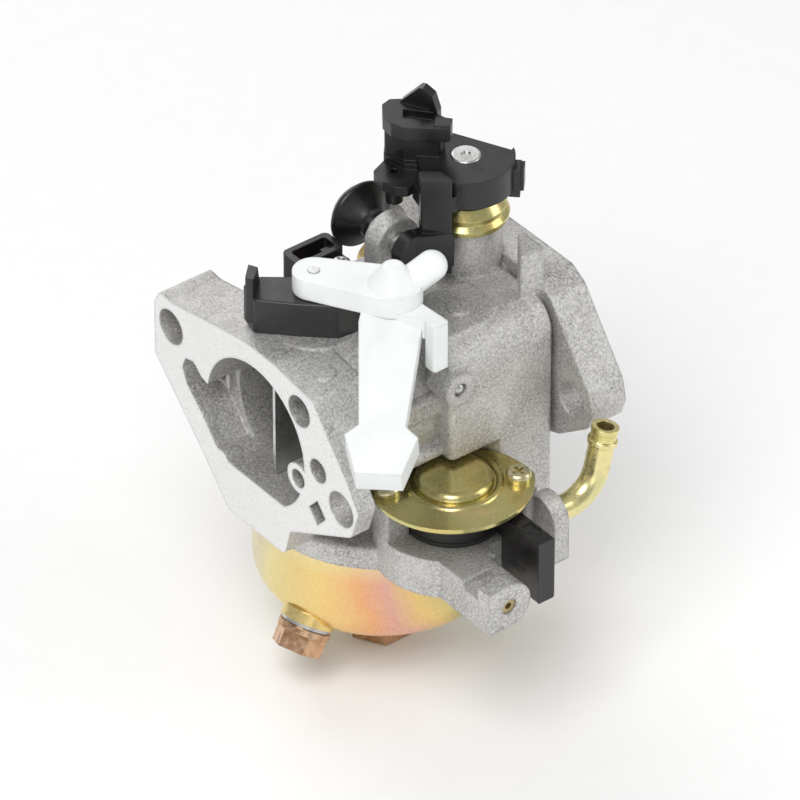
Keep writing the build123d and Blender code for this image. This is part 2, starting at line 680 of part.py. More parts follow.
def choke_bracket():
    """Moulded block over the choke boss, with an upright horn at its back corner."""
    outline = [(6.2, -8.8), (8.2, -4.4), (2.8, 3.6), (-3.2, 8.2), (-6.4, 10.8), (-11.2, 10.6),
               (-12.6, 4.6), (-6.6, -1.9), (0.2, -8.2)]
    points = [(choke_x + x, y) for x, y in outline]
    base = prism(at_z(block_low_z), points, block_top_z - block_low_z, 1.5)
    base = fillet(base.edges().group_by(Axis.Z)[-1], 0.5)
    horn_points = [(choke_x - 12.3, 5.0), (choke_x - 6.8, 9.9), (choke_x - 8.3, 11.6),
                   (choke_x - 13.4, 6.6)]
    horn = prism(at_z(block_low_z + 2), horn_points, block_top_z + 5.0 - block_low_z - 2, 0.5)
    lean = Plane(origin=(choke_x - 7.6, 9.2, block_top_z + 0.4), z_dir=(0.86, 0.42, 0.34))
    horn -= lean * Box(20, 20, 10, align=CENTRED)
    solid = base + horn
    return solid - Pos(choke_x, 0, 10) * Cylinder(choke_shaft_r + running_gap, 30, align=CENTRED)


# ---- choke group ----
arm_low_z = 27.2
flange_corner_reach = 27.5  # how far the top corner of the choke flange lies from the choke shaft
arm_top_z = 31.9
hub = (10.4, -14.0)
hub_r = 6.4
handle_heading = -132.3
handle_slope = 25.0
handle_length = 36.0
handle_start = 7.6          # distance of the handle's visible top from the hub axis


def choke_shaft():
    shaft = Pos(choke_x, 0, -24.5) * Cylinder(choke_shaft_r, arm_low_z - 0.1 + 24.5, align=CENTRED)
    pin = Pos(choke_x, 0, arm_low_z - 0.2) * Cylinder(1.25, arm_top_z + 0.15 - arm_low_z + 0.2,
                                                     align=CENTRED)
    slot = block((choke_x - 8, -choke_plate_t / 2, air_horn_floor_z - 0.2),
                 (choke_x + 8, choke_plate_t / 2, bore_z + air_horn_r - 0.3))
    shaft = shaft + pin - slot
    for z in (-10.0, 2.0):
        shaft -= rod((choke_x, -8, z), (0, 1, 0), 1.25 + fit_gap, 16)
    return shaft


def choke_plate():
    disc = rod((choke_x, -choke_plate_t / 2, bore_z), (0, 1, 0), air_horn_r - 0.5, choke_plate_t)
    low = (choke_x - choke_plate_reach, -2, air_horn_floor_z + 0.5)
    high = (choke_x + choke_plate_reach, 2, bore_z + air_horn_r)
    plate = disc & block(low, high)
    for z in (-10.0, 2.0):
        plate -= rod((choke_x, -8, z), (0, 1, 0), 1.25 + fit_gap, 16)
    return plate


def choke_plate_screws():
    return [pan_screw((choke_x, -choke_shaft_r, z), (0, -1, 0), 1.25, 5.2, 2.2, 1.3)
            for z in (-10.0, 2.0)]


def choke_lever():
    """White moulded lever: flat arm, hub with a cone and a stub, guide leg and paddle handle."""
    hx, hy = choke_x + hub[0], hub[1]
    reach = hypot(*hub)
    heading = degrees(atan2(hub[1], hub[0]))
    end_r = 4.7
    lift = arm_top_z - arm_low_z
    tip = Pos(choke_x, 0, arm_low_z) * Cylinder(end_r, lift, align=CENTRED)
    boss = Pos(hx, hy, arm_low_z) * Cylinder(hub_r, lift, align=CENTRED)
    lean = degrees(atan2(hub_r - end_r, reach))
    sides = []
    for r, x in ((end_r, 0.0), (hub_r, reach)):
        for side in (1, -1):
            sides.append((x - r * sin(radians(lean)), side * r * cos(radians(lean))))
    web_points = [sides[0], sides[2], sides[3], sides[1]]
    web = Pos(choke_x, 0, arm_low_z) * Rot(0, 0, heading) * prism(Plane.XY, web_points, lift)
    lever = tip + boss + web
    peak = Pos(hx, hy, arm_top_z - 0.2) * Cone(5.6, 2.1, 5.2, align=CENTRED)
    peak = fillet(peak.edges().sort_by(Axis.Z)[-1], 1.2)
    lever += peak
    stub_end = Vector(7.1, -2.5, 4.8)
    stub = rod((hx + 1.0, hy - 0.4, arm_low_z + 2.6), stub_end, 3.4, stub_end.length)
    stub += Pos(hx + 1.0 + stub_end.X, hy - 0.4 + stub_end.Y, arm_low_z + 2.6 + stub_end.Z) * Sphere(3.4)
    lever += stub
    lever += choke_handle(hx, hy)
    lever -= Pos(choke_x, 0, arm_low_z - 10) * Cylinder(1.25 + fit_gap, 30, align=CENTRED)
    return lever


def choke_handle(hx, hy):
    """Paddle handle that slopes down and outwards, with a guide leg on its right edge."""
    heading, slope = radians(handle_heading), radians(handle_slope)
    along = Vector(cos(heading) * cos(slope), sin(heading) * cos(slope), -sin(slope))
    across = Vector(-sin(heading), cos(heading), 0)
    frame = Plane(origin=(hx, hy, arm_low_z + 2.5), x_dir=along, z_dir=along.cross(across))
    reach = handle_length + handle_start
    neck = reach - 11.5
    outline = [(3, -6.2), (handle_start, -6.8), (neck, -5.0), (neck + 2.5, -7.8), (reach, -5.0),
               (reach, 5.0), (neck + 2.5, 7.8), (neck, 5.0), (handle_start, 6.8), (3, 6.2)]
    paddle = prism(frame, outline, -4.2)
    foot = [(neck - 1.5, -5.1), (neck, -5.0), (neck + 2.5, -7.8), (reach, -5.0), (reach, 5.0),
            (neck + 2.5, 7.8), (neck, 5.0), (neck - 1.5, 5.1)]
    paddle += prism(frame, foot, -7.2)
    keep = block((-120, -80, -20), (0, 20, arm_top_z - 0.4))
    paddle = paddle & keep
    paddle -= Pos(choke_x, 0, 0) * Cylinder(flange_corner_reach, arm_low_z - 9.6, align=CENTRED)
    leg_x, leg_y = hx + 1.9, hy - 12.6
    leg = soft_block((leg_x - 2.0, leg_y - 1.8, 16.6), (leg_x + 2.0, leg_y + 1.8, arm_low_z + 1.2), 0.7)
    bridge = prism(at_z(arm_low_z - 3.4), [(leg_x - 2.0, leg_y + 1.5), (leg_x + 1.9, leg_y + 1.5),
                                           (hx + 3.2, hy - 4.0), (hx - 3.5, hy - 5.0)], 4.6)
    return paddle + leg + bridge


# ---- bowl group ----
def float_bowl():
    r, w, c = bowl_r, bowl_wall, bowl_corner_r
    top, low, dish = ring_bottom_z, bowl_bottom_z, bowl_dish_z

    def shell(radius, corner, bottom, dish_r, dish_z):
        slope = dish_r + 4.5
        k = corner * (1 - cos(radians(45)))
        return make_face([
            Line((0, top), (radius, top)).edge(),
            Line((radius, top), (radius, bottom + corner)).edge(),
            ThreePointArc((radius, bottom + corner), (radius - k, bottom + k),
                          (radius - corner, bottom)).edge(),
            Line((radius - corner, bottom), (slope, bottom)).edge(),
            Line((slope, bottom), (dish_r, dish_z)).edge(),
            Line((dish_r, dish_z), (0, dish_z)).edge(),
            Line((0, dish_z), (0, top)).edge()])

    outer = revolve(Plane.XZ * shell(r, c, low, bowl_dish_r, dish), Axis.Z)
    inner = revolve(Plane.XZ * shell(r - w, c - w, low + w, bowl_dish_r - 0.6, dish + w), Axis.Z)
    bowl = Pos(bowl_x, 0, 0) * (outer - inner)
    seat = rod(drain_seat(-2.2), drain_direction(), 6.2, 2.6)
    bowl += seat
    bowl -= Pos(bowl_x, 0, dish - 1) * Cylinder(3.0 + fit_gap, 4, align=CENTRED)
    bowl -= rod(drain_seat(-8.0), drain_direction(), 4.0 + fit_gap, 12)
    return bowl


def drain_direction():
    around = radians(192.2)
    down = radians(55)
    return Vector(cos(around) * cos(down), sin(around) * cos(down), -sin(down))


def drain_seat(offset):
    """Point on the drain axis, offset outwards from the bowl's rounded corner."""
    around = radians(192.2)
    r = bowl_r - bowl_corner_r
    middle = Vector(bowl_x + r * cos(around), r * sin(around), bowl_bottom_z + bowl_corner_r)
    return middle + drain_direction() * (bowl_corner_r + offset)


def drain_bolt():
    d = drain_direction()
    shank = rod(drain_seat(-3.6), d, 4.0, 6.0)
    collar = rod(drain_seat(1.4), d, 6.0, 1.5)
    head = hexagon(drain_seat(2.8), d, 10.0, 4.2)
    return shank + collar + head


def drain_washer():
    ring = rod(drain_seat(0.45), drain_direction(), 5.5, 0.9)
    return ring - rod(drain_seat(0), drain_direction(), 4.0 + fit_gap, 4)


def bowl_bolt():
    shank = Pos(bowl_x, 0, bowl_dish_z - 2) * Cylinder(3.0, 11, align=CENTRED)
    collar = Pos(bowl_x, 0, bowl_dish_z - 3.0) * Cylinder(7.6, 1.9, align=CENTRED)
    head = hexagon((bowl_x, 0, bowl_dish_z - 9.8), (0, 0, 1), 14.0, 7.0)
    return shank + collar + head


def bowl_bolt_washer():
    washer = Cylinder(6.9, 1.0, align=CENTRED) - Cylinder(3.0 + fit_gap, 1.0, align=CENTRED)
    return Pos(bowl_x, 0, bowl_dish_z - 1.05) * washer


def bowl_gasket():
    ring = Cylinder(gasket_r[1], gasket_t, align=CENTRED) - Cylinder(gasket_r[0], gasket_t,
                                                                    align=CENTRED)
    return Pos(bowl_x, 0, ring_bottom_z) * ring


float_r = bowl_r - 3.9
float_top_z = -38.4
float_depth = 10.5


def carburetor_float():
    """Horseshoe float round the pillar, with its hinge arm."""
    body = Pos(bowl_x, 0, float_top_z - float_depth) * Cylinder(float_r, float_depth, align=CENTRED)
    body = fillet(body.edges(), 1.5)
    body -= Pos(bowl_x, 0, float_top_z - 20) * Cylinder(pillar_r + 3.2, 30, align=CENTRED)
    body -= block((bowl_x, -6.2, float_top_z - 20), (0, 6.2, 0))
    body -= block((float_pin_x - 3.8, -30, float_top_z - 20), (0, 30, 0))
    arm = block((bowl_x + float_r - 13.9, -6.6, float_pin_z - 3.2), (float_pin_x, 6.6, float_pin_z - 1.6))
    arm += block((bowl_x + 10.5, -6.6, float_top_z - 6), (bowl_x + 12.5, 6.6, float_pin_z - 1.6))
    knuckle = rod((float_pin_x, -6.3, float_pin_z), (0, 1, 0), 2.0, 12.6)
    knuckle += block((float_pin_x - 2, -6.3, float_pin_z - 3.2), (float_pin_x + 1, 6.3, float_pin_z))
    solid = body + arm + knuckle
    return solid - rod((float_pin_x, -12, float_pin_z), (0, 1, 0), float_pin_r + running_gap, 24)


def float_pin():
    return rod((float_pin_x, -9.3, float_pin_z), (0, 1, 0), float_pin_r, 18.6)


needle_base_z = float_pin_z - 1.55


def float_needle():
    stem = Pos(needle_x, 0, needle_base_z) * Cylinder(1.6, 5.6, align=CENTRED)
    tip = Pos(needle_x, 0, needle_base_z + 5.6) * Cone(1.6, 0.5, 2.0, align=CENTRED)
    return stem + tip


def needle_seat():
    seat = Pos(needle_x, 0, ring_bottom_z - 2.0) * Cylinder(seat_r, 6.4, align=CENTRED)
    seat -= Pos(needle_x, 0, ring_bottom_z - 3) * Cylinder(1.6 + running_gap, 5.2, align=CENTRED)
    return seat - Pos(needle_x, 0, ring_bottom_z) * Cylinder(1.0, 8, align=CENTRED)


def main_nozzle():
    low, high = -50.0, bore_z - venturi_r + 5.2
    tube = Pos(bowl_x, 0, low) * Cylinder(nozzle_r, high - low, align=CENTRED)
    tube -= Pos(bowl_x, 0, low - 1) * Cylinder(1.3, high - low + 2, align=CENTRED)
    for z in (-46, -42, -38, -34):
        tube -= rod((bowl_x - 5, 0, z), (1, 0, 0), 0.5, 10)
    return tube


def main_jet():
    jet = Pos(bowl_x, 0, -52.2) * Cylinder(nozzle_r, 2.1, align=CENTRED)
    jet -= Pos(bowl_x, 0, -53) * Cylinder(0.5, 4, align=CENTRED)
    return jet


# ---- fuel valve group ----
blade_x = (valve_x + 3.1, valve_x + 7.5)
blade_y = (-53.4, -43.2)
blade_z = (-34.6, -18.4)
gusset_r = valve_pocket_r + 2.0


def fuel_valve_lever():
    """Disc in the valve pocket, with a neck through the window and a deep flat blade."""
    floor = valve_plate_z - valve_plate_t - valve_pocket_depth
    low_z = floor + 1.3
    top = -18.6
    disc = Pos(valve_x, valve_y, low_z) * Cylinder(valve_pocket_r - valve_lever_gap, top - low_z,
                                                  align=CENTRED)
    neck = block((blade_x[0], blade_y[1] - 1, -23.8), (blade_x[1], valve_y - 8, -18.8))
    blade = block((blade_x[0], blade_y[0], blade_z[0]), (blade_x[1], blade_y[1], blade_z[1]))
    blade = fillet(blade.edges().filter_by(Axis.Y), 0.5)
    gusset = block((blade_x[0], blade_y[1] - 0.5, blade_z[0]), (blade_x[1], valve_y - gusset_r, -23.5))
    lever = disc + neck + blade + gusset
    arrow = [(-1.3, -2.8), (1.3, -2.8), (1.3, 0), (2.0, 0), (0, 2.6), (-2.0, 0), (-1.3, 0)]
    middle = ((blade_x[0] + blade_x[1]) / 2, (blade_y[0] + blade_y[1]) / 2 - 0.5, blade_z[1] - 0.35)
    mark = Plane(origin=middle, x_dir=(1, 0, 0), z_dir=(0, 0, 1))
    lever -= extrude(mark * Rot(0, 0, 180) * Polygon(*arrow, align=None), 1)
    for x, y in ((-4, 0), (3, 4)):
        lever -= Pos(valve_x + x, valve_y + y, low_z - 1) * Cylinder(1.6, 3, align=CENTRED)
    lever -= Pos(valve_x, valve_y, top - 1.6) * (Cylinder(9.0, 4, align=CENTRED)
                                                - Cylinder(4.5, 4, align=CENTRED))
    return lever


def valve_gasket():
    floor = valve_plate_z - valve_plate_t - valve_pocket_depth
    ring = Cylinder(valve_pocket_r - 0.3, 1.1, align=CENTRED)
    for x, y in ((-4, 0), (3, 4)):
        ring -= Pos(x, y, -1) * Cylinder(1.6, 4, align=CENTRED)
    return Pos(valve_x, valve_y, floor) * ring


def valve_wave_spring():
    ring = Cylinder(8.6, 0.5, align=CENTRED) - Cylinder(5.0, 0.5, align=CENTRED)
    return Pos(valve_x, valve_y, -18.6 - 1.0) * ring


def valve_plate():
    """Pressed plate with a raised dome inside a rolled ring."""
    plane = on_valve(valve_plate_z - valve_plate_t)
    plate = extrude(plane * valve_outline(0.0), valve_plate_t)
    ring = Torus(10.0, 0.9)
    dome = Cylinder(8.7, 3.2, align=CENTRED)
    dome = fillet(dome.edges().sort_by(Axis.Z)[-1], 1.9)
    plate += Pos(valve_x + 0.7, valve_y + 0.4, valve_plate_z - 0.35) * ring
    plate += Pos(valve_x + 0.7, valve_y + 0.4, valve_plate_z - valve_plate_t) * dome
    plate -= block((valve_x - 30, valve_y - 30, valve_plate_z - valve_plate_t - 5),
                   (valve_x + 30, valve_y + 30, valve_plate_z - valve_plate_t))
    for point in valve_screw_points():
        plate -= Pos(point.X, point.Y, valve_plate_z - 4) * Cylinder(1.5 + fit_gap, 8, align=CENTRED)
    return plate


def valve_plate_screws():
    return [pan_screw((p.X, p.Y, valve_plate_z), (0, 0, 1), 1.5, 8.0, 2.8, 2.2)
            for p in valve_screw_points()]


def fuel_inlet_pipe():
    """Pipe that leaves the inlet wall along +X, then turns up, with a beaded end."""
    start = Vector(inlet_wall_x[1] - 3.0, inlet_y, inlet_z)
    corner = Vector(inlet_wall_x[1] + 8.8, inlet_y, inlet_z)
    lean = radians(77)
    end = corner + Vector(cos(lean), 0, sin(lean)) * 17.2
    path = FilletPolyline(start, corner, end, radius=8.5)
    frame = Plane(origin=start, z_dir=(1, 0, 0))
    pipe = sweep(frame * Circle(pipe_r), path=path)
    direction = (end - corner).normalized()
    bead = rod(end - direction * 4.4, direction, pipe_r + 0.45, 1.5)
    bead = fillet(bead.edges(), 0.4)
    lip = rod(end - direction * 1.2, direction, pipe_r + 0.15, 1.2)
    pipe = pipe + bead + lip
    return pipe - sweep(frame * Circle(pipe_bore_r), path=path)


def passage_ball_plug():
    return Pos(ball_x, -25.2, ball_z) * Sphere(ball_r)


def arm_plug():
    plug = rod((plug_x, valve_arm_y + 0.5, plug_z), (0, 1, 0), plug_r, 5)
    return plug - rod((plug_x, valve_arm_y, plug_z), (0, 1, 0), 0.8, 1.6)


NODES = {
    "carburetor_body": carburetor_body,
    "throttle_shaft": throttle_shaft,
    "throttle_plate": throttle_plate,
    "throttle_plate_screws": throttle_plate_screws,
    "throttle_lever": throttle_lever,
    "throttle_dust_cap": throttle_dust_cap,
    "throttle_shaft_seal": throttle_shaft_seal,
    "idle_speed_screw": idle_speed_screw,
    "idle_screw_knob": idle_screw_knob,
    "mixture_screw": mixture_screw,
    "mixture_screw_spring": mixture_screw_spring,
    "pilot_jet_holder": pilot_jet_holder,
    "pilot_jet": pilot_jet,
    "holder_screw": holder_screw,
    "choke_bracket": choke_bracket,
    "choke_shaft": choke_shaft,
    "choke_plate": choke_plate,
    "choke_plate_screws": choke_plate_screws,
    "choke_lever": choke_lever,
    "float_bowl": float_bowl,
    "drain_bolt": drain_bolt,
    "drain_washer": drain_washer,
    "bowl_bolt": bowl_bolt,
    "bowl_bolt_washer": bowl_bolt_washer,
    "bowl_gasket": bowl_gasket,
    "float": carburetor_float,
    "float_pin": float_pin,
    "float_needle": float_needle,
    "needle_seat": needle_seat,
    "main_nozzle": main_nozzle,
    "main_jet": main_jet,
    "fuel_valve_lever": fuel_valve_lever,
    "valve_gasket": valve_gasket,
    "valve_wave_spring": valve_wave_spring,
    "valve_plate": valve_plate,
    "valve_plate_screws": valve_plate_screws,
    "fuel_inlet_pipe": fuel_inlet_pipe,
    "passage_ball_plug": passage_ball_plug,
    "arm_plug": arm_plug,
}


def main():
    os.makedirs("parts", exist_ok=True)
    for name, make in NODES.items():
        made = make()
        solids = made if isinstance(made, list) else made.solids()
        piece = solids[0] if len(solids) == 1 else Compound(children=[s.solid() for s in solids])
        export_step(piece, f"parts/{name}.step")


main()
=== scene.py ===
import json
import math

import bmesh
import bpy
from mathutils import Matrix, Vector

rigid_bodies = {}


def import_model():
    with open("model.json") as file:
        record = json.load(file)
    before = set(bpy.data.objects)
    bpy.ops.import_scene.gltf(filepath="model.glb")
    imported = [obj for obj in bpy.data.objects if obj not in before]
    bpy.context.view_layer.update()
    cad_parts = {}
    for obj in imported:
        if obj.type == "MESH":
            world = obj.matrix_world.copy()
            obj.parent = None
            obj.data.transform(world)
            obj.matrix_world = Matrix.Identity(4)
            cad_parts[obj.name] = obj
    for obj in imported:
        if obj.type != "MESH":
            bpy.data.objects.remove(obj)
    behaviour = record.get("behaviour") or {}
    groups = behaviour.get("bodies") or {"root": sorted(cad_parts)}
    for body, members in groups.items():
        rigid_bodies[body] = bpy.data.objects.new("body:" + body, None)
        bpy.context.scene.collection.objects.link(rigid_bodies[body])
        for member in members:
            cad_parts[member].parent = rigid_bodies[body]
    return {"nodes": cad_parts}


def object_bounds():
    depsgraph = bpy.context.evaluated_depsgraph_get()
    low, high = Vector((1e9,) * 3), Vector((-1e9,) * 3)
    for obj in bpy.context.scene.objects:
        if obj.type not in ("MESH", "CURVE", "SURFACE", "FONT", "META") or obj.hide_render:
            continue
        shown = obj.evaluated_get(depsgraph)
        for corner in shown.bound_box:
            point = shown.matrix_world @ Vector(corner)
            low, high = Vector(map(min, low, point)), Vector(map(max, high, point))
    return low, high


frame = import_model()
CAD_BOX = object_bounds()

MM = 0.001
AIR_FACE_X = -72 * MM       # machined face of the choke flange; the engine face is at x = 0
FACE_DEPTH = 0.08 * MM      # how deep a machined face's look reaches
FLOOR_GAP = 0.2 * MM
BOWL_X = -38 * MM           # axis of the float bowl
BOWL_R = 28.3 * MM
SIDEWAYS = (0.79, 0.613)    # direction across the bowl's front, along which its colour bands run


# ---------------------------------------------------------------- materials
class Nodes:
    """Small helper for building one procedural material."""

    def __init__(self, name):
        self.mat = bpy.data.materials.new(name)
        self.mat.use_nodes = True
        self.tree = self.mat.node_tree
        self.tree.nodes.clear()
        self.out = self.tree.nodes.new("ShaderNodeOutputMaterial")
        self.bsdf = self.tree.nodes.new("ShaderNodeBsdfPrincipled")
        self.link(self.bsdf.outputs[0], self.out.inputs["Surface"])
        self.coords = self.tree.nodes.new("ShaderNodeTexCoord").outputs["Object"]

    def link(self, a, b):
        self.tree.links.new(a, b)

    def noise(self, size_mm, detail=3.0, rough=0.5, stretch=(1, 1, 1), distortion=0.0):
        mapping = self.tree.nodes.new("ShaderNodeMapping")
        mapping.inputs["Scale"].default_value = stretch
        self.link(self.coords, mapping.inputs["Vector"])
        node = self.tree.nodes.new("ShaderNodeTexNoise")
        node.inputs["Scale"].default_value = 1000.0 / size_mm
        node.inputs["Detail"].default_value = detail
        node.inputs["Roughness"].default_value = rough
        node.inputs["Distortion"].default_value = distortion
        self.link(mapping.outputs[0], node.inputs["Vector"])
        return node.outputs["Fac"]

    def voronoi(self, size_mm, randomness=1.0):
        node = self.tree.nodes.new("ShaderNodeTexVoronoi")
        node.inputs["Scale"].default_value = 1000.0 / size_mm
        node.inputs["Randomness"].default_value = randomness
        self.link(self.coords, node.inputs["Vector"])
        return node

    def ramp(self, value, stops):
        node = self.tree.nodes.new("ShaderNodeValToRGB")
        element = node.color_ramp.elements
        while len(element) < len(stops):
            element.new(0.5)
        for e, (position, colour) in zip(element, stops):
            e.position = position
            e.color = (*colour, 1.0)
        self.link(value, node.inputs[0])
        return node.outputs[0]

    def remap(self, value, a, b, c, d):
        node = self.tree.nodes.new("ShaderNodeMapRange")
        for index, number in enumerate((a, b, c, d)):
            node.inputs[index + 1].default_value = number
        self.link(value, node.inputs[0])
        return node.outputs[0]

    def math(self, operation, a, b=None, clamp=False):
        node = self.tree.nodes.new("ShaderNodeMath")
        node.operation = operation
        node.use_clamp = clamp
        for index, value in enumerate((a, b)):
            if value is None:
                continue
            if isinstance(value, (int, float)):
                node.inputs[index].default_value = value
            else:
                self.link(value, node.inputs[index])
        return node.outputs[0]

    def mix(self, factor, a, b, mode="MIX"):
        node = self.tree.nodes.new("ShaderNodeMix")
        node.data_type = "RGBA"
        node.blend_type = mode
        sockets = [s for s in node.inputs if s.type == "RGBA"]
        for socket, value in zip([node.inputs[0]] + sockets, (factor, a, b)):
            if isinstance(value, (int, float)):
                socket.default_value = value
            elif isinstance(value, tuple):
                socket.default_value = (*value, 1.0)
            else:
                self.link(value, socket)
        return [s for s in node.outputs if s.type == "RGBA"][0]

    def axis(self, index):
        node = self.tree.nodes.new("ShaderNodeSeparateXYZ")
        self.link(self.coords, node.inputs[0])
        return node.outputs[index]

    def bump(self, pairs, bevel_mm=0.0):
        normal = None
        if bevel_mm:
            node = self.tree.nodes.new("ShaderNodeBevel")
            node.samples = 4
            node.inputs["Radius"].default_value = bevel_mm * MM
            normal = node.outputs[0]
        for height, strength, distance_mm in pairs:
            node = self.tree.nodes.new("ShaderNodeBump")
            node.inputs["Strength"].default_value = strength
            node.inputs["Distance"].default_value = distance_mm * MM
            self.link(height, node.inputs["Height"])
            if normal is not None:
                self.link(normal, node.inputs["Normal"])
            normal = node.outputs[0]
        self.link(normal, self.bsdf.inputs["Normal"])

    def set(self, **values):
        for name, value in values.items():
            socket = self.bsdf.inputs[name.replace("_", " ")]
            if isinstance(value, (int, float)):
                socket.default_value = value
            elif isinstance(value, tuple):
                socket.default_value = (*value, 1.0)
            else:
                self.link(value, socket)


def cast_aluminium():
    """Grainy casting, with bright machined faces at both ends of the body."""
    n = Nodes("cast_aluminium")
    grain = n.noise(0.55, 4.0, 0.65)
    crystal = n.voronoi(0.5)
    blotch = n.noise(9.0, 3.0, 0.55, distortion=0.4)
    stain = n.noise(22.0, 4.0, 0.6)
    speck = n.noise(0.9, 2.0, 0.7)
    base = n.ramp(blotch, [(0.30, (0.30, 0.29, 0.278)), (0.52, (0.41, 0.402, 0.39)),
                           (0.72, (0.52, 0.512, 0.50))])
    base = n.mix(n.remap(grain, 0.38, 0.66, 0.0, 0.8), base, (0.82, 0.81, 0.795))
    base = n.mix(n.remap(speck, 0.60, 0.72, 0.0, 0.55), base, (0.15, 0.14, 0.13))
    base = n.mix(n.remap(stain, 0.55, 0.75, 0.0, 0.30), base, (0.34, 0.32, 0.295))
    x = n.axis(0)
    machined = n.math("LESS_THAN", x, AIR_FACE_X + FACE_DEPTH)
    machined = n.math("MAXIMUM", machined, n.math("GREATER_THAN", x, -FACE_DEPTH))
    polish = n.noise(0.35, 2.0, 0.5, stretch=(1, 0.25, 1))
    bright = n.mix(n.remap(polish, 0.3, 0.7, 0.0, 1.0), (0.78, 0.776, 0.766), (0.86, 0.856, 0.848))
    colour = n.mix(machined, base, bright)
    rough = n.remap(grain, 0.3, 0.7, 0.40, 0.62)
    rough = n.math("SUBTRACT", rough, n.math("MULTIPLY", machined, 0.16))
    height = n.math("ADD", grain, n.math("MULTIPLY", crystal.outputs["Distance"], 0.5))
    height = n.math("MULTIPLY", height, n.math("SUBTRACT", 1.0, n.math("MULTIPLY", machined, 0.94)))
    n.set(Base_Color=colour, Metallic=0.62, Roughness=rough)
    n.bump([(height, 0.42, 0.28), (blotch, 0.25, 0.8)], bevel_mm=1.0)
    return n.mat


def yellow_zinc(name, stops, size, rough):
    """Yellow passivated zinc plating: the film's colour drifts between straw, green and pink; the ramp
    given for the bolts also holds dark patches that are painted dark reflections.
    """
    n = Nodes(name)
    drift = n.noise(size, 2.0, 0.5, distortion=1.1)
    fine = n.noise(1.1, 4.0, 0.6)
    streak = n.noise(2.6, 3.0, 0.6, stretch=(1, 1, 0.35))
    value = n.math("ADD", drift, n.math("MULTIPLY", n.math("SUBTRACT", streak, 0.5), 0.10))
    colour = n.ramp(value, stops)
    colour = n.mix(n.remap(fine, 0.35, 0.75, 0.0, 0.22), colour, (0.86, 0.74, 0.48))
    n.set(Base_Color=colour, Metallic=0.92, Roughness=n.remap(fine, 0.3, 0.7, rough, rough + 0.16))
    n.bump([(fine, 0.10, 0.10), (drift, 0.12, 0.6)], bevel_mm=0.3)
    return n.mat


def bowl_zinc():
    """Plated bowl: bands of film colour run round its side; its underside turns darker and greener,
    partly green film colour and partly painted shade, and a paler band at the top is a painted
    highlight.
    """
    n = Nodes("bowl_zinc")
    drift = n.noise(34.0, 2.0, 0.5, distortion=0.8)
    fine = n.noise(1.1, 4.0, 0.6)
    streak = n.noise(3.0, 3.0, 0.6, stretch=(1, 1, 0.3))
    aside = n.math("SUBTRACT",
                   n.math("MULTIPLY", n.math("ADD", n.axis(0), -BOWL_X), SIDEWAYS[0] / BOWL_R),
                   n.math("MULTIPLY", n.axis(1), SIDEWAYS[1] / BOWL_R))
    value = n.remap(aside, -1.0, 1.0, 0.10, 1.0)
    value = n.math("ADD", value, n.math("MULTIPLY", n.math("SUBTRACT", drift, 0.5), 0.42))
    value = n.math("ADD", value, n.math("MULTIPLY", n.math("SUBTRACT", streak, 0.5), 0.06))
    colour = n.ramp(value, [(0.04, SILVER), (0.16, (0.82, 0.70, 0.34)), (0.34, (0.86, 0.62, 0.22)),
                            (0.47, PEACH), (0.56, PINK), (0.68, (0.86, 0.60, 0.22)), (0.82, GREEN),
                            (0.95, GOLD)])
    # darker and greener towards the bottom: partly green film colour, partly painted shade under the
    # bowl
    low = n.math("ADD", n.remap(n.axis(2), -0.0560, -0.0600, 0.0, 1.0),
                 n.math("MULTIPLY", n.math("SUBTRACT", drift, 0.5), 1.2), clamp=True)
    colour = n.mix(n.math("MULTIPLY", low, 0.75), colour, (0.42, 0.50, 0.30))
    # paler towards the top: painted highlight
    high = n.math("ADD", n.remap(n.axis(2), -0.0400, -0.0360, 0.0, 1.0), 0.0, clamp=True)
    colour = n.mix(n.math("MULTIPLY", high, 0.5), colour, (0.80, 0.72, 0.40))
    colour = n.mix(n.remap(fine, 0.35, 0.75, 0.0, 0.16), colour, (0.90, 0.80, 0.55))
    n.set(Base_Color=colour, Metallic=0.88, Roughness=n.remap(fine, 0.3, 0.7, 0.22, 0.36))
    n.bump([(fine, 0.10, 0.10), (drift, 0.12, 0.6)], bevel_mm=0.4)
    return n.mat


def black_plastic():
    n = Nodes("black_plastic")
    fine = n.noise(0.35, 3.0, 0.6)
    cloud = n.noise(6.0, 3.0, 0.5)
    scuff = n.noise(1.6, 4.0, 0.7, stretch=(1, 0.25, 1))
    colour = n.ramp(cloud, [(0.3, (0.006, 0.0055, 0.006)), (0.7, (0.016, 0.0145, 0.014))])
    colour = n.mix(n.remap(scuff, 0.62, 0.8, 0.0, 0.35), colour, (0.06, 0.056, 0.053))
    n.set(Base_Color=colour, Roughness=n.remap(cloud, 0.3, 0.7, 0.26, 0.42))
    n.bsdf.inputs["Specular IOR Level"].default_value = 0.55
    n.bump([(fine, 0.10, 0.08), (cloud, 0.08, 0.5)], bevel_mm=0.35)
    return n.mat


def white_plastic():
    n = Nodes("white_plastic")
    fine = n.noise(0.3, 3.0, 0.6)
    cloud = n.noise(8.0, 3.0, 0.5)
    soil = n.noise(2.2, 4.0, 0.65)
    colour = n.ramp(cloud, [(0.3, (0.80, 0.83, 0.82)), (0.7, (0.88, 0.90, 0.895))])
    colour = n.mix(n.remap(soil, 0.66, 0.82, 0.0, 0.30), colour, (0.60, 0.62, 0.60))
    n.set(Base_Color=colour, Roughness=n.remap(cloud, 0.3, 0.7, 0.34, 0.50))
    n.bsdf.inputs["Subsurface Weight"].default_value = 0.08
    n.bsdf.inputs["Subsurface Radius"].default_value = (0.0012, 0.0012, 0.001)
    n.bump([(fine, 0.08, 0.06), (cloud, 0.08, 0.5)], bevel_mm=0.6)
    return n.mat


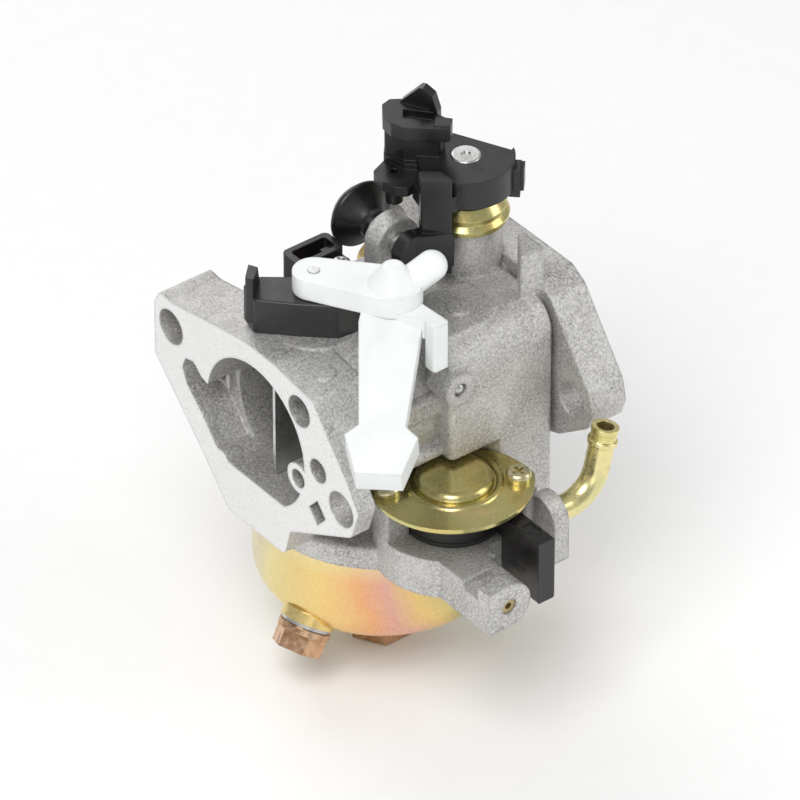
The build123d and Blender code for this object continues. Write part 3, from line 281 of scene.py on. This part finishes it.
def plain_metal(name, low, high, rough, metallic=1.0, streaked=(1, 1, 1)):
    n = Nodes(name)
    cloud = n.noise(5.0, 3.0, 0.5)
    fine = n.noise(0.4, 3.0, 0.6, stretch=streaked)
    mark = n.noise(1.2, 4.0, 0.7)
    colour = n.ramp(cloud, [(0.3, low), (0.7, high)])
    dark = tuple(c * 0.45 for c in low)
    colour = n.mix(n.remap(mark, 0.62, 0.78, 0.0, 0.5), colour, dark)
    n.set(Base_Color=colour, Metallic=metallic, Roughness=n.remap(fine, 0.3, 0.7, rough, rough + 0.18))
    n.bump([(fine, 0.14, 0.08)], bevel_mm=0.2)
    return n.mat


def rubber():
    n = Nodes("rubber")
    fine = n.noise(0.5, 3.0, 0.6)
    colour = n.ramp(fine, [(0.3, (0.012, 0.012, 0.012)), (0.7, (0.03, 0.03, 0.03))])
    n.set(Base_Color=colour, Roughness=n.remap(fine, 0.3, 0.7, 0.6, 0.8))
    n.bump([(fine, 0.2, 0.1)], bevel_mm=0.2)
    return n.mat


GOLD = (0.58, 0.36, 0.07)
PEACH = (0.84, 0.42, 0.20)
PINK = (0.76, 0.40, 0.33)
GREEN = (0.44, 0.50, 0.24)
SILVER = (0.60, 0.56, 0.40)

CAST = cast_aluminium()
BLACK = black_plastic()
WHITE = white_plastic()
STEEL = plain_metal("plated_steel", (0.50, 0.50, 0.49), (0.72, 0.72, 0.71), 0.22)
BRASS = plain_metal("turned_brass", (0.56, 0.40, 0.16), (0.76, 0.60, 0.30), 0.24)
PLUG = plain_metal("grey_brass", (0.36, 0.30, 0.16), (0.52, 0.44, 0.24), 0.3)
RUBBER = rubber()
BOWL_ZINC = bowl_zinc()
PLATE_ZINC = yellow_zinc("plate_zinc", [(0.30, (0.42, 0.36, 0.11)), (0.44, (0.64, 0.52, 0.18)),
                                        (0.56, (0.56, 0.54, 0.22)), (0.70, (0.72, 0.58, 0.26))],
                         size=18.0, rough=0.15)
SCREW_ZINC = yellow_zinc("screw_zinc", [(0.32, (0.60, 0.54, 0.32)), (0.68, (0.80, 0.74, 0.50))],
                         size=5.0, rough=0.2)
PIPE_ZINC = yellow_zinc("pipe_zinc", [(0.30, (0.66, 0.58, 0.20)), (0.50, (0.84, 0.74, 0.36)),
                                      (0.70, (0.62, 0.62, 0.30))], size=9.0, rough=0.18)
# bolt plating: copper-pink film colour, and its dark brown stops are painted dark reflections
BOLT_ZINC = yellow_zinc("bolt_zinc", [(0.30, (0.34, 0.16, 0.08)), (0.46, (0.72, 0.44, 0.28)),
                                      (0.60, (0.46, 0.24, 0.12)), (0.75, (0.80, 0.58, 0.40))],
                        size=8.0, rough=0.16)

LOOKS = {
    "carburetor_body": CAST, "throttle_lever": BLACK, "idle_screw_knob": BLACK, "choke_bracket": BLACK,
    "pilot_jet_holder": BLACK, "fuel_valve_lever": BLACK, "float": BLACK, "choke_lever": WHITE,
    "float_bowl": BOWL_ZINC, "valve_plate": PLATE_ZINC, "valve_plate_screws": SCREW_ZINC,
    "throttle_dust_cap": PLATE_ZINC, "fuel_inlet_pipe": PIPE_ZINC, "drain_bolt": BOLT_ZINC,
    "bowl_bolt": BOLT_ZINC, "throttle_plate": BRASS, "mixture_screw": BRASS, "pilot_jet": BRASS,
    "needle_seat": BRASS, "float_needle": BRASS, "main_nozzle": BRASS, "main_jet": BRASS,
    "arm_plug": PLUG, "bowl_gasket": RUBBER, "valve_gasket": RUBBER, "throttle_shaft_seal": RUBBER,
}


def dress(obj, material):
    obj.data.materials.clear()
    obj.data.materials.append(material)
    for polygon in obj.data.polygons:
        polygon.material_index = 0


for name, obj in frame["nodes"].items():
    if obj.type == "MESH":
        dress(obj, LOOKS.get(name, STEEL))
    for child in obj.children_recursive:
        if child.type == "MESH":
            dress(child, LOOKS.get(name, STEEL))


# ---------------------------------------------------------------- studio
def area_light(name, size, power, place, target, colour=(1, 1, 1)):
    data = bpy.data.lights.new(name, "AREA")
    data.shape = "RECTANGLE"
    data.size, data.size_y = size
    data.energy = power
    data.color = colour
    light = bpy.data.objects.new(name, data)
    light.location = place
    light.rotation_euler = (Vector(target) - Vector(place)).to_track_quat("-Z", "Y").to_euler()
    bpy.context.collection.objects.link(light)
    return light


lowest = CAD_BOX[0].z
floor_mesh = bpy.data.meshes.new("floor")
bm = bmesh.new()
bmesh.ops.create_grid(bm, x_segments=1, y_segments=1, size=4.0)
bm.to_mesh(floor_mesh)
bm.free()
floor = bpy.data.objects.new("floor", floor_mesh)
floor.location = (0, 0, lowest - FLOOR_GAP)
bpy.context.collection.objects.link(floor)
paper = Nodes("paper")
fibre = paper.noise(6.0, 3.0, 0.5)
paper.set(Base_Color=paper.ramp(fibre, [(0.3, (0.955, 0.955, 0.955)), (0.7, (0.97, 0.97, 0.97))]))
paper.set(Roughness=paper.remap(fibre, 0.3, 0.7, 0.85, 0.95))
dress(floor, paper.mat)

world = bpy.data.worlds.new("studio")
world.use_nodes = True
background = world.node_tree.nodes.get("Background") or world.node_tree.nodes.new("ShaderNodeBackground")
background.inputs[0].default_value = (1.0, 1.0, 1.0, 1.0)
background.inputs[1].default_value = 0.43
bpy.context.scene.world = world

middle = Vector((-0.036, -0.005, -0.010))
area_light("key", (0.5, 0.5), 5.0, middle + Vector((-0.45, -0.30, 0.75)), middle)
area_light("side", (0.35, 0.6), 1.5, middle + Vector((0.60, -0.50, 0.35)), middle)
area_light("back", (0.6, 0.4), 2.2, middle + Vector((0.15, 0.70, 0.55)), middle)
area_light("front_low", (0.5, 0.3), 0.5, middle + Vector((-0.55, -0.60, 0.05)), middle)

scene = bpy.context.scene
scene.view_settings.view_transform = "Standard"
scene.view_settings.look = "None"

camera_data = bpy.data.cameras.new("camera")
camera = bpy.data.objects.new("camera", camera_data)
bpy.context.collection.objects.link(camera)
DISTANCE = 2.0
VIEW_WIDTH = 0.1739         # width of the view at the target
toward = Vector((-0.487, -0.628, 0.606)).normalized()
target = Vector((-29.08, 4.91, -18.3)) * MM
camera.location = target + toward * DISTANCE
camera.rotation_euler = toward.to_track_quat("Z", "Y").to_euler()
camera_data.sensor_width = 36.0
camera_data.lens = camera_data.sensor_width * DISTANCE / VIEW_WIDTH
camera_data.clip_start = 0.01
camera_data.clip_end = 20.0
scene.camera = camera
